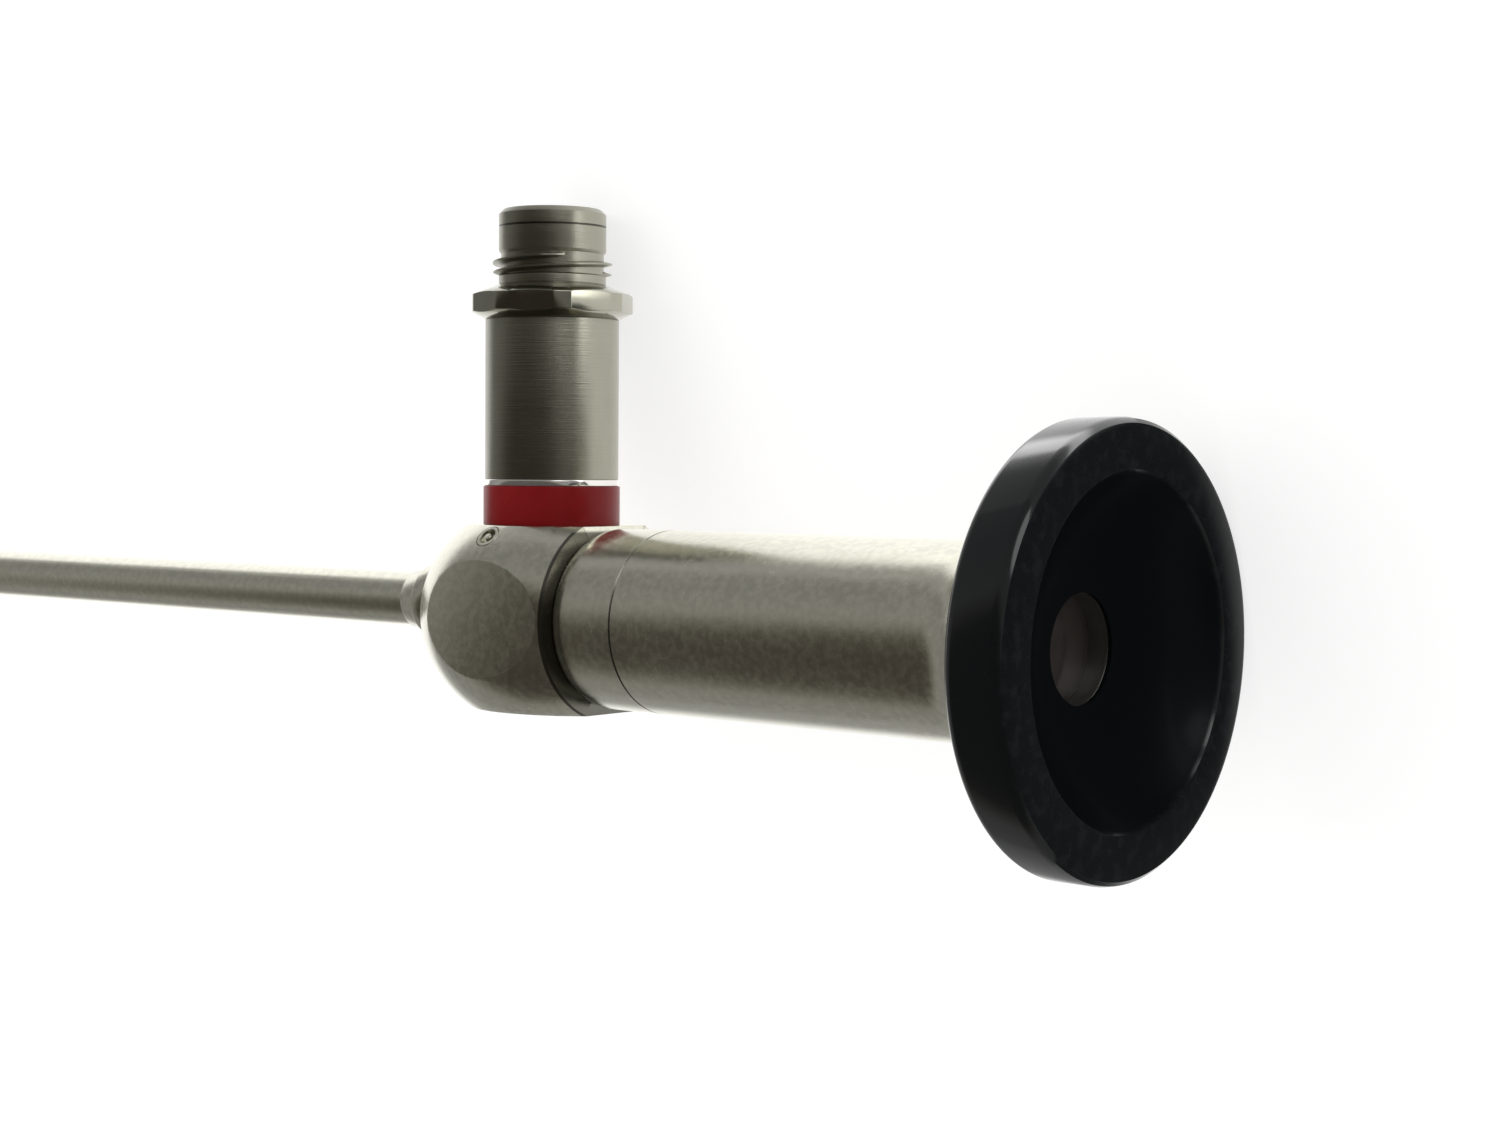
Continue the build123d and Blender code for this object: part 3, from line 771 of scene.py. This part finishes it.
def make_eyecup():
    """The moulded cup: rounded rim, crisp funnel mouth and a dished funnel."""
    rim, front, mouth, opening = (size("cup_radius"), size("cup_front"), size("funnel_radius"),
                                  size("window_opening"))
    floor_x, funnel_bow, nose_seat, back, back_chamfer = 51.42, 1.11, 7.02, 10.4, 0.5
    flank_x, shoulder = 50.9, 0.9
    back_edge, rim_edge, mouth_edge, floor_edge = 0.12, 0.85, 0.1, 0.08
    outline = Outline(floor_x, opening).line(WINDOW_RING_FRONT_X, opening)
    outline.line(WINDOW_RING_FRONT_X, CUP_SEAT).line(CUP_NOSE_X, CUP_SEAT)
    outline.line(CUP_NOSE_X, nose_seat).line(CUP_X, nose_seat).line(CUP_X, back, back_edge)
    outline.line(CUP_X + back_chamfer, back + back_chamfer).line(flank_x, rim - shoulder)
    outline.arc(flank_x + shoulder, rim, sagitta_of(shoulder, shoulder * sqrt(2)))
    outline.line(front, rim, rim_edge).line(front, mouth, mouth_edge)
    outline.arc(floor_x, opening, -funnel_bow)
    outline.roundings.append((outline.first, floor_edge))
    shown("funnel_eyecup", outline.turned(CUP_STEPS), cup_plastic(), "black_cup", "eyecup")


def make_window():
    """The window and the ring that carries it."""
    opening, bore, outer, window = size("window_opening"), 4.42, 5.2, 4.4
    opening_edge, window_edge, front_x = 0.06, 0.08, WINDOW_X + WINDOW_THICKNESS
    outline = Outline(WINDOW_RING_X, bore).line(front_x, bore).line(front_x, opening)
    outline.line(WINDOW_RING_FRONT_X, opening, opening_edge).line(WINDOW_RING_FRONT_X, outer)
    shown("window_seat", outline.line(WINDOW_RING_X, outer).turned(), seat_steel(),
          "inner_steel", "window_ring")
    outline = Outline(WINDOW_X, 0).line(WINDOW_X, window, window_edge)
    outline.line(front_x, window, window_edge).line(front_x, 0)
    shown("window_glass", outline.turned(), window_glass(), "lens_glass", "eyepiece_window")


def on_post(mesh):
    """Stand a piece that was turned about X on the post's axis."""
    return placed(mesh, ON_POST)


def make_post_rings():
    """The red ring, the bright ring above it and the post's sleeve."""
    foot, red_edge, rim, rim_edge, sleeve_edge = size("post_flat"), 0.07, 5.52, 0.12, 0.06
    red_top, rim_top = foot + 3.15, foot + 3.7
    red = on_post(ring(foot, red_top, size("ring_radius"), POST_BORE, red_edge))
    shown("red_ring", red, red_enamel(), "red_ring", "colour_ring")
    bright = on_post(ring(red_top, rim_top, rim, POST_BORE, rim_edge))
    shown("bright_rim", bright, bpy.data.materials["bright_steel"], "bright_steel",
          "post_rim_ring")
    sleeve = on_post(ring(rim_top, SLEEVE_TOP_Z, size("sleeve_radius"), POST_BORE, sleeve_edge))
    shown("turned_sleeve", sleeve, bpy.data.materials["turned_steel"], "post_steel",
          "post_sleeve")


def make_flange():
    """The eight-sided flange; its chamfers leave the edges of the flats curved."""
    land, land_low_z, land_high_z, land_edge = size("flange_radius"), 24.8, 26.2, 0.1
    ferrule_z, flat_edge = 26.0, 0.05
    outline = Outline(SLEEVE_TOP_Z, POST_BORE).line(SLEEVE_TOP_Z, size("sleeve_radius"))
    outline.line(land_low_z, land, land_edge).line(land_high_z, land, land_edge)
    outline.line(FLANGE_TOP_Z, size("nipple_radius")).line(FLANGE_TOP_Z, FERRULE_SEAT)
    outline.line(ferrule_z, FERRULE_SEAT).line(ferrule_z, POST_BORE)
    flange = on_post(outline.turned(FLANGE_STEPS))
    for index in range(FLANGE_FLATS):
        turn = FLANGE_TURN + index * 2 * pi / FLANGE_FLATS
        outward = Vector((cos(turn), sin(turn), 0))
        cut_flat(flange, outward * (land - size("flange_flat")), outward, flat_edge)
    shown("eight_sided_flange", flange, milled_steel(), "post_steel", "post_flange")


def make_nipple():
    """The post's end: a recessed band for the thread, a fine cut and a chamfered top."""
    radius, root, glass_seat = size("nipple_radius"), size("thread_root"), 2.6
    cut_floor, chamfer, shoulder_edge, edge = radius - 0.07, 0.4, 0.1, 0.05
    shoulder_z, band_low_z, band_high_z, land_z, glass_z, top_z = (27.75, 27.85, 29.55, 29.8,
                                                                   31.0, 33.2)
    outline = Outline(FLANGE_TOP_Z, FERRULE_SEAT).line(FLANGE_TOP_Z, radius)
    outline.line(shoulder_z, radius, shoulder_edge).line(band_low_z, root)
    outline.line(band_high_z, root).line(land_z, radius, edge)
    outline.line(CUT_LOW_Z, radius).line(CUT_LOW_Z, cut_floor)
    outline.line(CUT_HIGH_Z, cut_floor).line(CUT_HIGH_Z, radius)
    outline.line(top_z - chamfer, radius, edge).line(top_z, radius - chamfer, edge)
    outline.line(top_z, glass_seat).line(glass_z, glass_seat).line(glass_z, FERRULE_SEAT)
    shown("threaded_nipple", on_post(outline.turned()), bpy.data.materials["turned_steel"],
          "post_steel", "post_nipple")


def make_thread():
    """The ridges of a two-start thread, wound by turning and lifting one small section."""
    sunk, trimmed, foot_half, crest_half, taper = 0.08, 0.06, 0.27, 0.07, 14
    root, crest = size("thread_root") - sunk, size("thread_crest") - trimmed
    section = ((root, -foot_half), (crest, -crest_half), (crest, crest_half), (root, foot_half))
    rise = THREAD_LEAD * THREAD_SWEEP / (2 * pi) / THREAD_STEPS
    thread = bmesh.new()
    for start in range(THREAD_STARTS):
        ridge = bmesh.new()
        corners = [ridge.verts.new((radius, 0, z)) for radius, z in section]
        face = ridge.faces.new(corners)
        bmesh.ops.spin(ridge, geom=[face], cent=(0, 0, 0), axis=(0, 0, 1), angle=THREAD_SWEEP,
                       steps=THREAD_STEPS, dvec=(0, 0, rise), use_merge=False)
        ridge.verts.ensure_lookup_table()
        for index, corner in enumerate(ridge.verts):
            step = index // len(section)
            height = min(1.0, (step + 1) / taper, (THREAD_STEPS + 1 - step) / taper)
            reach = corner.co.xy.length
            share = (root + (reach - root) * height) / reach
            corner.co.x, corner.co.y = corner.co.x * share, corner.co.y * share
        turn = Matrix.Rotation(THREAD_TURN + start * 2 * pi / THREAD_STARTS, 4, "Z")
        placed(ridge, Matrix.Translation((0, 0, THREAD_LOW_Z)) @ turn)
        data = bpy.data.meshes.new("ridge")
        ridge.to_mesh(data)
        ridge.free()
        thread.from_mesh(data)
        bpy.data.meshes.remove(data)
    bmesh.ops.recalc_face_normals(thread, faces=thread.faces[:])
    shown("nipple_thread", thread, bpy.data.materials["turned_steel"], "post_steel")


INNER_FINISHES = {
    "bright_steel": ("optic_tube", "post_core", "fibre_ferrule"),
    "anodised": ("field_stop", "lens_cell", "cell_lock_ring", "window_retainer",
                 "eye_lens_spacer", "eye_lens_nut"),
    "brass": ("optic_tube_bush",),
    "fibre_ends": ("shaft_fibres", "fibre_bundle"),
}


def finish_inner_pieces():
    """Give every CAD piece that still shows its finish: steel, anodising, brass or glass."""
    finish_of = {node: name for name, nodes in INNER_FINISHES.items() for node in nodes}
    for name, piece in frame["nodes"].items():
        if piece.hide_render:
            continue
        default = "anodised" if "spacer" in name else "glass"
        piece.data.materials.clear()
        piece.data.materials.append(bpy.data.materials[finish_of.get(name, default)])


def make_floor():
    """A pale floor that shines a little itself and still keeps the object's shadow.

    Gloss sees it bright close to the instrument, with a strip beside the eyecup, and dark
    ahead of the eyecup on the near side.
    """
    mesh = bmesh.new()
    bmesh.ops.create_grid(mesh, x_segments=1, y_segments=1, size=FLOOR_REACH)
    bmesh.ops.translate(mesh, verts=mesh.verts[:], vec=(0, 0, -FLOOR_DROP))
    data = bpy.data.meshes.new("floor")
    mesh.to_mesh(data)
    mesh.free()
    floor = bpy.data.objects.new("floor", data)
    bpy.context.scene.collection.objects.link(floor)
    material = bpy.data.materials.new("floor")
    material.use_nodes = True
    graph = Graph(material.node_tree)
    white = graph.white_rays()
    glossy = graph.node("LightPath", output="Is Glossy Ray")
    place = graph.node("TexCoord", output="Object")
    along = graph.node("SeparateXYZ", inputs={"Vector": place}, output=0)
    across = graph.node("SeparateXYZ", inputs={"Vector": place}, output=1)
    seen_level, plain_level, close_level, strip_level = 1.28, 1.02, 1.8, 6.0
    glow_share, more_glow_ahead = 0.55, 0.38
    dark_front = glossy * along.ramp(0.178, 0.19) * (1.0 - across.ramp(0.006, 0.014))
    close = across.within(-0.003, 0.024, 0.056) * (1.0 - dark_front)
    strip = across.within(0.027, 0.003, 0.009) * along.within(0.186, 0.015, 0.04)
    gloss = glossy * (close * close_level + strip * strip_level)
    level = white * seen_level + (1.0 - white) * (gloss + (1.0 - glossy) * plain_level)
    matt = graph.node("BsdfDiffuse", inputs={"Color": colour("floor")})
    glow = graph.node("Emission", inputs={"Strength": level})
    share = glow_share + more_glow_ahead * dark_front
    mixed = graph.node("MixShader", inputs={0: share, 1: matt, 2: glow})
    graph.node("OutputMaterial", inputs={"Surface": mixed})
    data.materials.append(material)


def make_world():
    """White behind the object; gloss sees a dark ceiling and a softbox beyond the eyecup."""
    world = bpy.data.worlds.new("studio")
    world.use_nodes = True
    bpy.context.scene.world = world
    graph = Graph(world.node_tree)
    direction = graph.node("TexCoord", output="Generated")
    height = graph.node("VectorMath", {"operation": "DOT_PRODUCT"},
                        {0: direction, 1: CEILING}, output=1)
    overhead = graph.node("ValToRGB", {"stops": OVERHEAD_LIGHT}, {"Fac": height})
    toward = graph.node("VectorMath", {"operation": "DOT_PRODUCT"},
                        {0: direction, 1: SOFTBOX}, output=1)
    shining = graph.mix(toward.ramp(0.95, 0.975), overhead, SOFTBOX_LIGHT)
    studio = graph.mix(graph.node("LightPath", output="Is Glossy Ray"), PLAIN_LIGHT, shining)
    seen = graph.mix(graph.white_rays(), studio, WHITE)
    graph.node("OutputWorld", inputs={
        "Surface": graph.node("Background", inputs={"Color": seen})})


def make_lamp(name, place, side, power):
    """A large soft lamp that looks at the instrument and leaves reflections to the studio."""
    data = bpy.data.lights.new(name, "AREA")
    data.shape, data.size, data.energy = "SQUARE", side, power
    lamp = bpy.data.objects.new(name, data)
    lamp.location = place
    lamp.rotation_euler = (-Vector(place)).to_track_quat("-Z", "Y").to_euler()
    lamp.visible_glossy = False
    bpy.context.scene.collection.objects.link(lamp)


def make_camera():
    """The photograph's view: place, aim and upright in the instrument's frame."""
    right = CAMERA_AIM.cross(CAMERA_UPRIGHT).normalized()
    back = -CAMERA_AIM.normalized()
    turn = Matrix((right, back.cross(right), back)).transposed().to_4x4()
    data = bpy.data.cameras.new("camera")
    data.sensor_width, data.lens = SENSOR_WIDTH, FOCAL_LENGTH
    camera = bpy.data.objects.new("camera", data)
    frame_turn = PLACE.to_quaternion().to_matrix().to_4x4()
    camera.matrix_world = Matrix.Translation(PLACE @ CAMERA_PLACE) @ frame_turn @ turn
    data.clip_start, data.clip_end = 0.01, 20.0
    bpy.context.scene.collection.objects.link(camera)
    bpy.context.scene.camera = camera


class ENDOSCOPE_OT_finishes(bpy.types.Operator):
    """Make the finishes that several pieces share"""

    bl_idname = "endoscope.finishes"
    bl_label = "Finishes"

    def execute(self, context):
        blasted_steel()
        turned_steel()
        bright_steel()
        anodised()
        brass()
        glass()
        fibre_ends()
        return {"FINISHED"}


class ENDOSCOPE_OT_shaft(bpy.types.Operator):
    """Make the shaft with its slanted tip and the collar behind it"""

    bl_idname = "endoscope.shaft"
    bl_label = "Shaft and collar"

    def execute(self, context):
        make_shaft()
        make_collar()
        return {"FINISHED"}


class ENDOSCOPE_OT_block(bpy.types.Operator):
    """Make the block with its flats and the plug beside the post"""

    bl_idname = "endoscope.block"
    bl_label = "Block and plug"

    def execute(self, context):
        make_block()
        make_plug()
        return {"FINISHED"}


class ENDOSCOPE_OT_housing(bpy.types.Operator):
    """Make the two parts of the ocular housing"""

    bl_idname = "endoscope.housing"
    bl_label = "Ocular housing"

    def execute(self, context):
        make_sleeve()
        make_flared_tube()
        return {"FINISHED"}


class ENDOSCOPE_OT_eyecup(bpy.types.Operator):
    """Make the eyecup, the window's ring and the window"""

    bl_idname = "endoscope.eyecup"
    bl_label = "Eyecup and window"

    def execute(self, context):
        make_eyecup()
        make_window()
        return {"FINISHED"}


class ENDOSCOPE_OT_post(bpy.types.Operator):
    """Make the light post: rings, sleeve, eight-sided flange, nipple and thread"""

    bl_idname = "endoscope.post"
    bl_label = "Light post"

    def execute(self, context):
        make_post_rings()
        make_flange()
        make_nipple()
        make_thread()
        return {"FINISHED"}


class ENDOSCOPE_OT_inner_pieces(bpy.types.Operator):
    """Finish the optical train, the fibres and the other inner pieces"""

    bl_idname = "endoscope.inner_pieces"
    bl_label = "Inner pieces"

    def execute(self, context):
        finish_inner_pieces()
        return {"FINISHED"}


class ENDOSCOPE_OT_stage(bpy.types.Operator):
    """Make the floor, the studio light and the camera"""

    bl_idname = "endoscope.stage"
    bl_label = "Stage"

    def execute(self, context):
        make_floor()
        make_world()
        make_lamp("soft_lamp", (-0.35, 0.55, 1.0), side=1.0, power=3.2)
        make_camera()
        context.scene.view_settings.view_transform = "Standard"
        return {"FINISHED"}


STEPS = (ENDOSCOPE_OT_finishes, ENDOSCOPE_OT_shaft, ENDOSCOPE_OT_block, ENDOSCOPE_OT_housing,
         ENDOSCOPE_OT_eyecup, ENDOSCOPE_OT_post, ENDOSCOPE_OT_inner_pieces, ENDOSCOPE_OT_stage)


class ENDOSCOPE_PT_panel(bpy.types.Panel):
    """Sizes, colours and steps of the endoscope"""

    bl_idname = "ENDOSCOPE_PT_panel"
    bl_label = "Endoscope"
    bl_space_type = "VIEW_3D"
    bl_region_type = "UI"
    bl_category = "Endoscope"

    def draw(self, context):
        for group in (context.scene.endoscope_sizes, context.scene.endoscope_colours):
            column = self.layout.column()
            for name in group.__annotations__:
                column.prop(group, name)
        for step in STEPS:
            self.layout.operator(step.bl_idname)


CLASSES = (EndoscopeSizes, EndoscopeColours, *STEPS, ENDOSCOPE_PT_panel)


def register():
    """Add the sizes, colours, steps and panel to the editor."""
    for made in CLASSES:
        bpy.utils.register_class(made)
    bpy.types.Scene.endoscope_sizes = PointerProperty(type=EndoscopeSizes)
    bpy.types.Scene.endoscope_colours = PointerProperty(type=EndoscopeColours)


def unregister():
    """Take them out again."""
    del bpy.types.Scene.endoscope_colours
    del bpy.types.Scene.endoscope_sizes
    for made in reversed(CLASSES):
        bpy.utils.unregister_class(made)


def main():
    """Build the endoscope step by step."""
    register()
    bpy.ops.endoscope.finishes()
    bpy.ops.endoscope.shaft()
    bpy.ops.endoscope.block()
    bpy.ops.endoscope.housing()
    bpy.ops.endoscope.eyecup()
    bpy.ops.endoscope.post()
    bpy.ops.endoscope.inner_pieces()
    bpy.ops.endoscope.stage()


if __name__ == "__main__":
    main()
